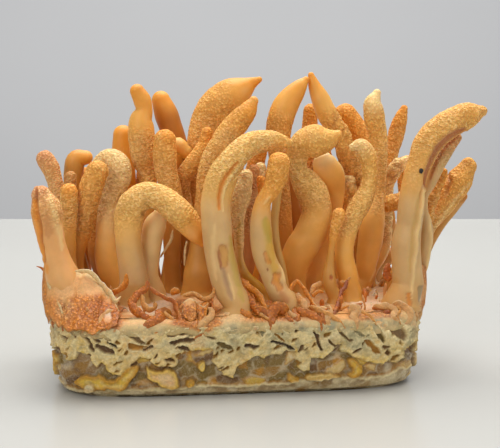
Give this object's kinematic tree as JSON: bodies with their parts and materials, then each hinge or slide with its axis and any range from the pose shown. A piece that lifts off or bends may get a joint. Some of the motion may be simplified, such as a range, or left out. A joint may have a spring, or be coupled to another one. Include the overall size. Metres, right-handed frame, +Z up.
{
  "type": "cordyceps bunch",
  "caption": "Bunch of orange club fungi, some arched or hooked, growing from a felted mycelium mat on a slab of cooked grain.",
  "frame": {"origin": "centre of the flat underside of the grain block", "axes": "+X along the block's long side, +Y from the front towards the back, +Z up"},
  "size_m": [0.1209, 0.0579, 0.0825],
  "materials": {
    "grain_substrate": "moist cooked grain, cream and olive brown, bound with mycelium",
    "mycelium": "pale pink-cream felt with torn orange edges",
    "club_flesh": "orange grainy heads on smooth cream stems, slightly translucent"
  },
  "bodies": {
    "root": {"substrate_block": "grain_substrate", "mycelium_mat": "mycelium", "front_club_1": "club_flesh", "front_club_2": "club_flesh", "front_club_3": "club_flesh", "front_club_4": "club_flesh", "front_club_5": "club_flesh", "front_club_6": "club_flesh", "front_club_7": "club_flesh", "front_club_8": "club_flesh", "front_club_9": "club_flesh", "front_club_10": "club_flesh", "front_club_11": "club_flesh", "middle_club_1": "club_flesh", "middle_club_2": "club_flesh", "middle_club_3": "club_flesh", "middle_club_4": "club_flesh", "middle_club_5": "club_flesh", "middle_club_6": "club_flesh", "middle_club_7": "club_flesh", "middle_club_8": "club_flesh", "middle_club_9": "club_flesh", "middle_club_10": "club_flesh", "middle_club_11": "club_flesh", "middle_club_12": "club_flesh", "middle_club_13": "club_flesh", "middle_club_14": "club_flesh", "middle_club_15": "club_flesh", "middle_club_16": "club_flesh", "middle_club_17": "club_flesh", "middle_club_18": "club_flesh", "middle_club_19": "club_flesh", "back_club_1": "club_flesh", "back_club_2": "club_flesh", "back_club_3": "club_flesh", "back_club_4": "club_flesh", "back_club_5": "club_flesh", "back_club_6": "club_flesh", "back_club_7": "club_flesh", "back_club_8": "club_flesh", "back_club_9": "club_flesh", "back_club_10": "club_flesh", "back_club_11": "club_flesh", "back_club_12": "club_flesh", "back_club_13": "club_flesh", "back_club_14": "club_flesh", "back_club_15": "club_flesh", "back_club_16": "club_flesh", "back_club_17": "club_flesh", "back_club_18": "club_flesh", "back_club_19": "club_flesh", "back_club_20": "club_flesh", "back_club_21": "club_flesh", "back_club_22": "club_flesh"}
  },
  "joints": []
}
